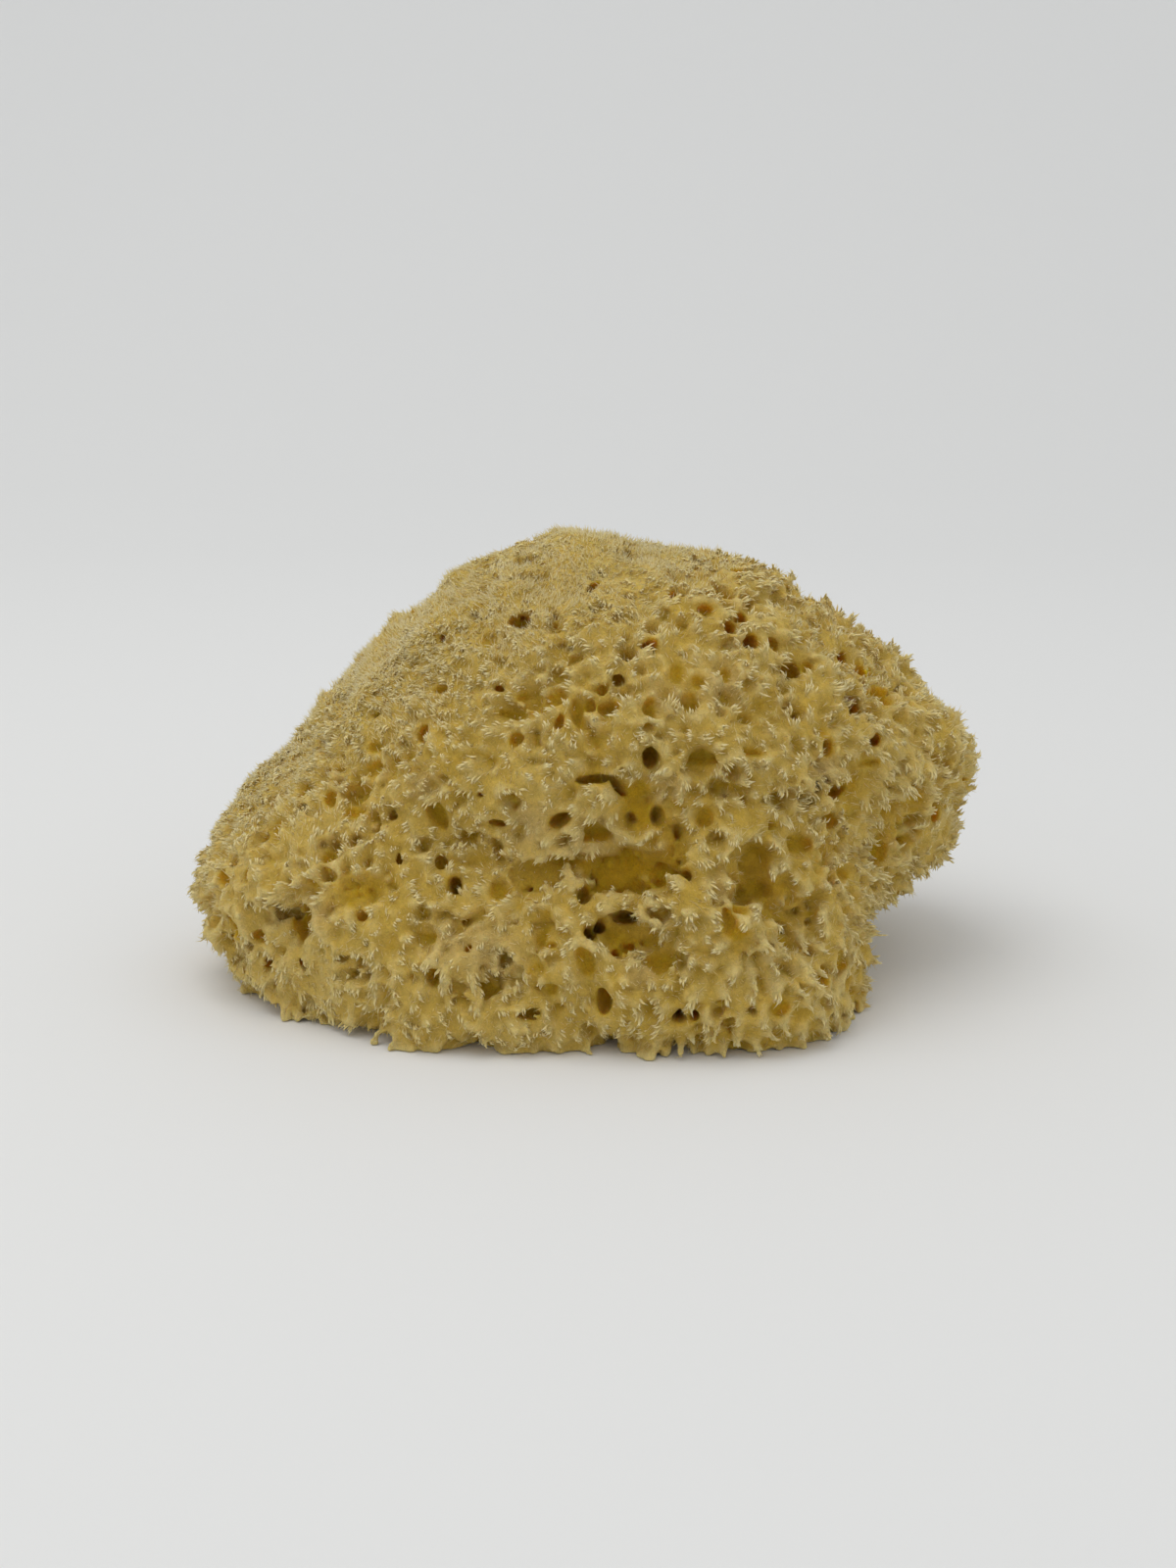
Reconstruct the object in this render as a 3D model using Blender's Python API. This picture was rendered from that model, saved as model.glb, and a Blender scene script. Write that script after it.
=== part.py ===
"""A natural sea sponge, as it is sold for bathing: one grown lump with tufted skin,
round pores and a flat underside where it was cut from the rock.

Metres, +Z up. The origin is on the flat cut, under the middle of the sponge.
-Y is the front, which has the folded hollows, and +X is the overhanging nose.
"""

import math

import bmesh
import bpy
import numpy as np

MM = 0.001

# The whole form: rounded lobes that grew together, each (centre, radii) in millimetres.
LOBES = {
    "crown": ((6, 5, 42), (54, 47, 40)),
    "top_knob": ((1, 10, 71), (11, 12, 12)),
    "left_flank": ((-29, 4, 40), (24, 34, 21)),
    "left_shoulder": ((-38, 0, 18), (36, 38, 30)),
    "front_foot": ((-21, -20, 10), (30, 27, 23)),
    "front_apron": ((10, -14, 16), (42, 37, 34)),
    "right_heel": ((33, -22, 9), (18, 22, 21)),
    "nose": ((45, 15, 35), (30, 34, 28)),
}
LOBE_FILLET = 7.0

# The lobes reach to the tips of the tufts, and the skin that the tufts stand on lies this deep.
SKIN_DEPTH = 2.4

# Folds and sunken places in the skin: (centre, radii, tilt about Y in degrees), in millimetres.
FOLDS = {
    "fold_under_the_nose": ((54, -21, 32), (4.5, 11, 15), -10),
    "slit_beside_the_nose": ((42, -28, 44), (9, 9, 2.6), 12),
    "front_bowl": ((5, -45, 34), (12, 9, 6.5), 0),
    "slit_over_the_bowl": ((6, -41, 47), (8, 9, 2.2), -20),
    "slit_right_of_the_bowl": ((17, -43, 39), (2.4, 9, 8), 0),
    "recess_left_of_the_bowl": ((-9, -42, 32), (6, 8, 4), 6),
    "hollow_below_the_bowl": ((8, -48, 22), (8, 9, 4), -18),
    "left_front_dip": ((-28, -39, 38), (9, 7, 5), 20),
    "left_side_dip": ((-52, -32, 21), (4, 6, 5), 0),
    "top_basin": ((-14, -12, 80), (12, 10, 5), 14),
    "back_crease": ((-12, 51, 40), (4, 8, 22), 18),
    "back_hollow": ((26, 47, 26), (11, 8, 8), 0),
}
FOLD_FILLET = 3.0

# The point that the form is built round. Every place on the skin can be seen from it.
HEART = np.array([0.0, 0.0, 36.0])
FARTHEST_REACH = 110.0

# Soft swelling of the skin between the lobes.
SWELL_HEIGHT = 1.6
SWELL_LENGTH = 17.0

# The tufts, which stand a few millimetres apart all over the skin. Between them the skin
# lies lower, and only a share of the neighbouring tufts is joined by a ridge.
TUFT_PITCH = 3.75
TUFT_HEIGHT = (1.4, 3.6)
TUFT_LEAN = 0.8
HOLLOW_DEPTH = (1.0, 2.6)
SHARE_OF_RIDGES = 0.3
# The cut has no tufts, so its corners lie further apart, and all else stays clear above it.
CUT_PITCH = 9.0
LEAST_FOOT_CLEARANCE = 0.5

# The large pores that face the front: (x, z, radius, depth) in millimetres.
FRONT_PORES = [
    (-11, 72, 2.3, 6), (1, 77, 1.5, 4), (-8, 78, 1.6, 5), (5, 65, 2.2, 6),
    (3, 60, 2.1, 6), (-13, 58, 2.0, 5), (-19, 55, 1.6, 5), (-29, 53, 1.5, 4),
    (-37, 53, 1.5, 4), (-42, 42, 2.2, 6), (-57, 34, 1.8, 5), (-46, 32, 2.2, 6),
    (-51, 21, 3.0, 8), (-62, 22, 1.5, 4), (-24, 28, 2.1, 7), (-29, 20, 1.7, 5),
    (-40, 15, 1.9, 5), (-17, 13, 2.4, 5), (2, 40, 2.3, 6), (-1, 29, 2.0, 8),
    (-8, 22, 2.0, 7), (1, 24, 1.8, 9), (7, 25, 2.0, 9), (13, 18, 2.3, 7),
    (16, 76, 2.0, 5), (25, 71, 2.0, 6), (30, 68, 1.7, 5), (36, 64, 2.4, 6),
    (47, 63, 1.7, 5), (52, 60, 2.1, 6), (56, 56, 2.5, 7), (47, 56, 2.6, 7),
    (52, 50, 2.0, 6), (10, 69, 1.8, 5), (18, 60, 1.8, 5), (19, 52, 2.4, 6),
    (6, 47, 2.3, 9), (13, 43, 2.1, 9), (17, 32, 1.6, 6), (43, 37, 2.4, 7),
    (29, 34, 2.7, 6), (30, 28, 2.6, 8), (35, 25, 1.9, 7), (40, 23, 2.1, 7),
    (35, 19, 2.2, 7), (46, 19, 1.9, 5), (17, 8, 2.0, 7), (58, 44, 2.4, 6),
    (64, 34, 2.0, 5),
]
# The other sides have large pores too, spaced out evenly.
OTHER_PORES = 50
PORE_SPACING = 12.0
PORE_RADIUS = (1.8, 3.0)
PORE_DEPTH = (4.5, 8.0)
PORE_FLOOR_SHARE = 0.7
# A mouth is cut as a polygon, which this makes as wide as the round pore.
MOUTH_WIDENING = 1.2

# Water canals that the knife opened in the flat underside: (x, y, radius, depth).
CUT_CANALS = [
    (-16, -18, 3.2, 9), (12, -24, 2.8, 8), (26, -6, 3.6, 10), (8, 12, 3.0, 9),
    (-14, 14, 2.8, 8), (24, 12, 2.8, 8), (-30, 0, 2.8, 7), (-44, -4, 2.4, 7),
    (-30, -24, 2.6, 8), (-3, -32, 2.4, 7), (-9, 2, 2.2, 7), (14, -9, 2.6, 8),
]

SEED = 7


def ellipsoid_distance(points, centre, radii, tilt=0.0):
    """About how far each point lies outside an ellipsoid, negative inside it."""
    local = points - np.asarray(centre, float)
    turn = math.radians(tilt)
    east, up = local[:, 0].copy(), local[:, 2].copy()
    local[:, 0] = east * math.cos(turn) + up * math.sin(turn)
    local[:, 2] = up * math.cos(turn) - east * math.sin(turn)
    radii = np.asarray(radii, float)
    scaled = np.linalg.norm(local / radii, axis=1)
    slope = np.linalg.norm(local / radii**2, axis=1)
    return scaled * (scaled - 1) / np.maximum(slope, 1e-9)


def blend(first, second, fillet):
    """The smaller of two distances, with the crease between them rounded."""
    share = np.clip(0.5 + 0.5 * (second - first) / fillet, 0, 1)
    return second * (1 - share) + first * share - fillet * share * (1 - share)


def swell(points):
    """A slow, uneven rise and fall of the skin."""
    x, y, z = (points * (2 * math.pi / SWELL_LENGTH)).T
    wave = np.sin(x + 1.3 * np.sin(0.7 * y)) * np.sin(0.9 * y + 0.5 * np.sin(z))
    return SWELL_HEIGHT * 0.5 * (wave + np.sin(0.8 * z + 1.1 * np.sin(0.6 * x + y)))


def form_distance(points):
    """About how far each point lies outside the sponge's form, without its tufts."""
    distance = np.full(len(points), np.inf)
    for centre, radii in LOBES.values():
        lobe = ellipsoid_distance(points, centre, radii)
        distance = lobe if np.isinf(distance[0]) else blend(distance, lobe, LOBE_FILLET)
    distance = distance + SKIN_DEPTH - swell(points)
    for centre, radii, tilt in FOLDS.values():
        fold = ellipsoid_distance(points, centre, radii, tilt)
        distance = -blend(-distance, fold, FOLD_FILLET)
    return distance


def skin_points(directions):
    """The place where each ray from the heart leaves the form or meets the flat cut."""
    near = np.full(len(directions), 4.0)
    far = np.full(len(directions), FARTHEST_REACH)
    for _ in range(24):
        middle = (near + far) / 2
        inside = form_distance(HEART + directions * middle[:, None]) < 0
        near = np.where(inside, middle, near)
        far = np.where(inside, far, middle)
    reach = (near + far) / 2
    falls = directions[:, 2] < -1e-6
    reach[falls] = np.minimum(reach[falls], HEART[2] / -directions[falls, 2])
    return HEART + directions * reach[:, None]


def way_out(point):
    """The unit direction from the heart to a point."""
    reach = np.asarray(point, float) - HEART
    return reach / np.linalg.norm(reach)


def front_direction(x, z):
    """The direction from the heart to the skin that the front view shows at x and z."""
    depth = np.linspace(-90, 0, 361)
    line = np.stack([np.full(361, float(x)), depth, np.full(361, float(z))], axis=1)
    inside = form_distance(line) < 0
    return way_out(line[np.argmax(inside)])


def place_pores(random):
    """Every large pore as (direction, radius, depth), the front's own ones first."""
    pores = [(front_direction(x, z), radius, depth) for x, z, radius, depth in FRONT_PORES]
    canals = [(way_out((x, y, 0)), radius, depth) for x, y, radius, depth in CUT_CANALS]
    taken = skin_points(np.array([direction for direction, _, _ in pores]))
    tries = random.normal(size=(6000, 3))
    tries /= np.linalg.norm(tries, axis=1)[:, None]
    for direction, point in zip(tries, skin_points(tries)):
        on_the_front = point[1] < -18
        near_the_cut = point[2] < 7
        if on_the_front or near_the_cut:
            continue
        if np.linalg.norm(taken - point, axis=1).min() < PORE_SPACING:
            continue
        pores.append((direction, random.uniform(*PORE_RADIUS), random.uniform(*PORE_DEPTH)))
        taken = np.vstack([taken, point])
        if len(taken) == len(FRONT_PORES) + OTHER_PORES:
            break
    return pores + canals


def scatter_tufts(pores, random):
    """Directions of the pores and of the tufts between them, no two too near each other."""
    directions = [direction for direction, _, _ in pores]
    points = skin_points(np.array(directions))
    rooms = np.array([radius + 0.45 * TUFT_PITCH for _, radius, _ in pores])
    tries = random.normal(size=(26000, 3))
    tries /= np.linalg.norm(tries, axis=1)[:, None]
    for direction, point in zip(tries, skin_points(tries)):
        pitch = CUT_PITCH if point[2] < 1e-4 else TUFT_PITCH
        gaps = np.linalg.norm(points - point, axis=1)
        if (gaps < np.maximum(rooms, pitch * (rooms == 0))).any():
            continue
        directions.append(direction)
        points = np.vstack([points, point])
        rooms = np.append(rooms, 0.0)
    return np.array(directions), points


def skin_mesh(directions, points):
    """A closed mesh with a corner at each point, netted on the unit sphere first."""
    net = bmesh.new()
    for direction in directions:
        net.verts.new(direction)
    net.verts.ensure_lookup_table()
    bmesh.ops.convex_hull(net, input=net.verts[:])
    for corner, point in zip(net.verts, points):
        corner.co = point
    bmesh.ops.recalc_face_normals(net, faces=net.faces[:])
    net.normal_update()
    return net


def raise_tufts(net, first_tuft, random):
    """Pushes each tuft out of the skin, leaning a little, and leaves the cut flat."""
    tufts = [corner for corner in net.verts[first_tuft:] if corner.co.z > 1e-4]
    outward = [corner.normal.copy() for corner in tufts]
    for corner, normal in zip(tufts, outward):
        corner.co += normal * random.uniform(*TUFT_HEIGHT)
        corner.co.x += random.uniform(-TUFT_LEAN, TUFT_LEAN)
        corner.co.y += random.uniform(-TUFT_LEAN, TUFT_LEAN)
        corner.co.z = max(corner.co.z, LEAST_FOOT_CLEARANCE)


def open_pores(net, pores):
    """Turns each pore's corner into a mouth and sinks a tapering well behind it."""
    mouths = []
    for corner, (_, radius, depth) in zip(net.verts[: len(pores)], pores):
        mouths.append((corner, -corner.normal.copy(), radius, depth))
    for corner, inward, radius, depth in mouths:
        cut = bmesh.ops.bevel(
            net, geom=[corner], offset=radius * MOUTH_WIDENING, offset_type="OFFSET",
            segments=1, profile=0.5, affect="VERTICES",
        )
        mouth = max(cut["faces"], key=lambda face: len(face.verts))
        deepened = bmesh.ops.extrude_discrete_faces(net, faces=[mouth])
        floor = deepened["faces"][0]
        middle = floor.calc_center_median()
        for rim in floor.verts:
            rim.co = middle + (rim.co - middle) * PORE_FLOOR_SHARE + inward * depth


def sink_hollows(net, random):
    """Sinks the skin between the tufts, and most of the ridges that join one to the next."""
    skin = [
        face for face in net.faces
        if len(face.verts) == 3 and max(corner.co.z for corner in face.verts) > 1e-4
    ]
    inside = set(skin)
    ridges = [
        edge for edge in net.edges
        if inside.issuperset(edge.link_faces) and random.random() > SHARE_OF_RIDGES
    ]
    for face in skin:
        poked = bmesh.ops.poke(net, faces=[face], offset=-random.uniform(*HOLLOW_DEPTH))
        for hollow in poked["verts"]:
            hollow.co.z = max(hollow.co.z, LEAST_FOOT_CLEARANCE)
    bmesh.ops.rotate_edges(net, edges=ridges)


def set_over_the_origin(net):
    """Moves the middle of the sponge over the origin, and leaves the cut at height 0."""
    for axis in (0, 1):
        places = [corner.co[axis] for corner in net.verts]
        middle = (min(places) + max(places)) / 2
        for corner in net.verts:
            corner.co[axis] -= middle


def sponge_material():
    """Dull straw-yellow fibre."""
    material = bpy.data.materials.new("sponge_fibre")
    material.use_nodes = True
    surface = material.node_tree.nodes["Principled BSDF"]
    surface.inputs["Base Color"].default_value = (0.40, 0.28, 0.085, 1)
    surface.inputs["Roughness"].default_value = 0.92
    surface.inputs["Metallic"].default_value = 0.0
    return material


def build_sponge(collection):
    """The whole sponge, one grown piece."""
    random = np.random.default_rng(SEED)
    pores = place_pores(random)
    directions, points = scatter_tufts(pores, random)
    net = skin_mesh(directions, points)
    raise_tufts(net, len(pores), random)
    net.normal_update()
    open_pores(net, pores)
    sink_hollows(net, random)
    bmesh.ops.triangulate(net, faces=net.faces[:])
    set_over_the_origin(net)
    bmesh.ops.scale(net, vec=(MM, MM, MM), verts=net.verts[:])
    mesh = bpy.data.meshes.new("sponge")
    net.to_mesh(mesh)
    net.free()
    mesh.materials.append(sponge_material())
    sponge = bpy.data.objects.new("sponge", mesh)
    collection.objects.link(sponge)
    return sponge


def main():
    for obj in list(bpy.data.objects):
        bpy.data.objects.remove(obj, do_unlink=True)
    collection = bpy.data.collections.new("sea_sponge")
    bpy.context.scene.collection.children.link(collection)
    build_sponge(collection)


main()
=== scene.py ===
"""How the sea sponge looks: felted skin with pits, pores and tufts of fibre, on a pale floor.

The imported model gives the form. The skin is grown over it on a fine grid, in millimetres,
and the fibres are set on the skin.
"""

import math

import bpy
import numpy as np
import openvdb
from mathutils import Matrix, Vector


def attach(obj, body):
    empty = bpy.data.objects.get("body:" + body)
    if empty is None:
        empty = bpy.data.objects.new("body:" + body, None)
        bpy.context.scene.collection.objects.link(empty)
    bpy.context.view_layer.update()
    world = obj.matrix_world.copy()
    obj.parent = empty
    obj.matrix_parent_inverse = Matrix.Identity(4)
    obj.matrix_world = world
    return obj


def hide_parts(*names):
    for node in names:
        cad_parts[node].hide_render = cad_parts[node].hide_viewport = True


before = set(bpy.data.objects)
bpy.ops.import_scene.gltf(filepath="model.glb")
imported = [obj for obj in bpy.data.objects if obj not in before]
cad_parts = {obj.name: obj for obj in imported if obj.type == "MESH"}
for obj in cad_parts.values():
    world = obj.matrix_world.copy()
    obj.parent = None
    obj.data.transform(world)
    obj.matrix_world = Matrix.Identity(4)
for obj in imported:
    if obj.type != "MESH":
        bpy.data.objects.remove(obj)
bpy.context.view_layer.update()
scene = bpy.context.scene

# The camera stands in front of the sponge and a little above it, as the photograph's did,
# and the sponge takes up two thirds of the picture's width.
PHOTO_TARGET = Vector((-0.0007, -0.001, 0.037))
PHOTO_ELEVATION = math.radians(15)
PHOTO_DISTANCE = 0.45
PHOTO_LENS = 53.9

camera = bpy.data.objects.new("camera", bpy.data.cameras.new("camera"))
scene.collection.objects.link(camera)
scene.camera = camera
towards_camera = Vector((0, -math.cos(PHOTO_ELEVATION), math.sin(PHOTO_ELEVATION)))
camera.location = PHOTO_TARGET + towards_camera * PHOTO_DISTANCE
camera.rotation_euler = (-towards_camera).to_track_quat("-Z", "Y").to_euler()
camera.data.lens = PHOTO_LENS
camera.data.sensor_width = 36
camera.data.clip_start = 0.01
camera.data.clip_end = 20

# The body is one grown lump of springy fibre, felted together at the skin. The skin dips
# between the tufts into pits a few millimetres wide, and round canals open in it as pores.
# It is grown on a grid, where each place holds how far it lies outside the skin. The form
# runs on below the flat cut until the end, so that the cut's edge stays crisp.
MM = 0.001
random = np.random.default_rng(11)

FORM_STEP = 1.5
FORM_REACH = 10.5
FORM_MARGIN = 9.0
FORM_SOFTENING = 2
CUT_EDGE = 1.5

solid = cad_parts["sponge"].data
solid.calc_loop_triangles()
solid_corners = np.empty((len(solid.vertices), 3), np.float32)
solid.vertices.foreach_get("co", solid_corners.reshape(-1))
solid_corners /= MM
solid_triangles = np.empty((len(solid.loop_triangles), 3), np.int32)
solid.loop_triangles.foreach_get("vertices", solid_triangles.reshape(-1))

form_corner = np.floor((solid_corners.min(0) - FORM_MARGIN) / FORM_STEP).astype(int)
form_shape = np.ceil((solid_corners.max(0) + FORM_MARGIN) / FORM_STEP).astype(int) - form_corner
form_volume = openvdb.FloatGrid.createLevelSetFromPolygons(
    solid_corners,
    triangles=solid_triangles.astype(np.uint32),
    transform=openvdb.createLinearTransform(voxelSize=FORM_STEP),
    halfWidth=FORM_REACH / FORM_STEP,
)
form = np.empty(form_shape, np.float32)
form_volume.copyToArray(form, ijk=tuple(int(place) for place in form_corner))
lowest_whole = math.ceil(CUT_EDGE / FORM_STEP) - form_corner[2]
form[:, :, :lowest_whole] = form[:, :, lowest_whole:lowest_whole + 1]
for _ in range(FORM_SOFTENING):
    for axis in range(3):
        form = (np.roll(form, 1, axis) + form + np.roll(form, -1, axis)) / 3

eye = np.array(camera.location) / MM
target = np.array(PHOTO_TARGET) / MM
camera_right = np.array([1.0, 0.0, 0.0])
camera_up = np.array([0.0, math.sin(PHOTO_ELEVATION), math.cos(PHOTO_ELEVATION)])
camera_back = np.array(towards_camera)


def picture_place(points):
    """Where points show in the picture: millimetres right of its middle, and above it."""
    away = points - eye
    scale = PHOTO_DISTANCE / MM / -(away @ camera_back)
    return away @ camera_right * scale, away @ camera_up * scale


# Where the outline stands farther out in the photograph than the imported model's, or nearer
# in: millimetres right and up in the picture, how wide, and how far out.
OUTLINE_FIXES = [
    (-19, 43, 7, 1.7), (-6, 47.5, 5, 1.8), (3, 48.5, 5, 1.0), (-46, 22, 5, 0.8), (33, -48, 10, 2.6),
    (42, -45, 6, 1.8), (73, 6, 7, 1.3), (55, 29, 4, 0.9), (66, 21, 5, -2.0), (-67, -3, 7, -0.5),
    (-69, -34, 4, -1.0), (-74, -21, 6, 1.1), (-65, -41, 4, 1.2), (-54, -46, 6, -0.3),
    (-44, -48, 9, 0.7), (-20, -50, 7, 2.0), (54, -26, 5, -0.7), (56, -36, 4, -0.8),
    (62, -15, 5, -0.6), (72, -5, 5, -1.8), (42, 37, 5, -0.8), (18, 46, 8, -0.5),
]
form_points = np.indices(form.shape).reshape(3, -1).T + form_corner
form_right, form_up = picture_place(form_points * FORM_STEP)
for right, up, width, rise in OUTLINE_FIXES:
    apart = (form_right - right) ** 2 + (form_up - up) ** 2
    form -= (rise * np.exp(-apart / width**2)).reshape(form.shape)


def sample(field, corner, step, points):
    """A field's value at each point, blended between the eight grid places round it."""
    place = points / step - corner
    low = np.clip(np.floor(place).astype(int), 0, np.array(field.shape) - 2)
    share = place - low
    value = np.zeros(len(points))
    for x in (0, 1):
        for y in (0, 1):
            for z in (0, 1):
                weight = np.abs(1 - np.array([x, y, z]) - share).prod(1)
                value += weight * field[low[:, 0] + x, low[:, 1] + y, low[:, 2] + z]
    return value


def height_over_form(points):
    """How far each point lies outside the smooth form, negative inside it."""
    return sample(form, form_corner, FORM_STEP, points)


SLOPE_REACH = 0.8
SETTLING_ROUNDS = 4
WOOLLY_SLANT, WOOLLY_FROM, WOOLLY_WIDTH = 0.6, 22, 16


def outward(points):
    """The smooth form's outward direction near each point."""
    slope = np.empty((len(points), 3))
    for axis in range(3):
        nudge = np.zeros(3)
        nudge[axis] = SLOPE_REACH
        slope[:, axis] = height_over_form(points + nudge) - height_over_form(points - nudge)
    return slope / np.maximum(np.linalg.norm(slope, axis=1), 1e-9)[:, None]


def settled(points):
    """The points moved along the slope until they lie on the smooth form."""
    for _ in range(SETTLING_ROUNDS):
        points = points - outward(points) * height_over_form(points)[:, None]
    return points


def woolly(points):
    """How far each point is on the finely felted upper left, from 0 to 1."""
    right, up = picture_place(points)
    return np.clip((up - WOOLLY_SLANT * right - WOOLLY_FROM) / WOOLLY_WIDTH, 0, 1)


def spaced(points, gaps):
    """Which points to keep, the first ones first, so that all have about their gaps round them."""
    widest = float(max(gaps))
    rooms = {}
    kept = []
    cells = np.floor(points / widest).astype(int).tolist()
    around = [(x, y, z) for x in (-1, 0, 1) for y in (-1, 0, 1) for z in (-1, 0, 1)]
    for index, ((a, b, c), (x, y, z)) in enumerate(zip(cells, points.tolist())):
        gap = float(gaps[index])
        crowded = False
        for i, j, k in around:
            for other_x, other_y, other_z, other_gap in rooms.get((a + i, b + j, c + k), ()):
                reach = (gap + other_gap) / 2
                if (x - other_x) ** 2 + (y - other_y) ** 2 + (z - other_z) ** 2 < reach**2:
                    crowded = True
                    break
            if crowded:
                break
        if not crowded:
            rooms.setdefault((a, b, c), []).append((x, y, z, gap))
            kept.append(index)
    return np.array(kept)


# Places spread evenly at random over the smooth form, and over the flat cut.
SKIN_PLACES = 80000
SHELL_REACH = 0.75
CUT_PLACES = 9000
CUT_RIM = 1.5
shell = np.argwhere(np.abs(form) < SHELL_REACH * FORM_STEP)
chosen = shell[random.integers(len(shell), size=SKIN_PLACES)]
skin_places = settled((chosen + random.uniform(-0.5, 0.5, chosen.shape) + form_corner) * FORM_STEP)
skin_places = skin_places[skin_places[:, 2] > 0]
cut_places = np.zeros((CUT_PLACES, 3))
cut_places[:, :2] = random.uniform(
    solid_corners.min(0)[:2], solid_corners.max(0)[:2], (CUT_PLACES, 2)
)
cut_places = cut_places[height_over_form(cut_places) < -CUT_RIM]

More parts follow.
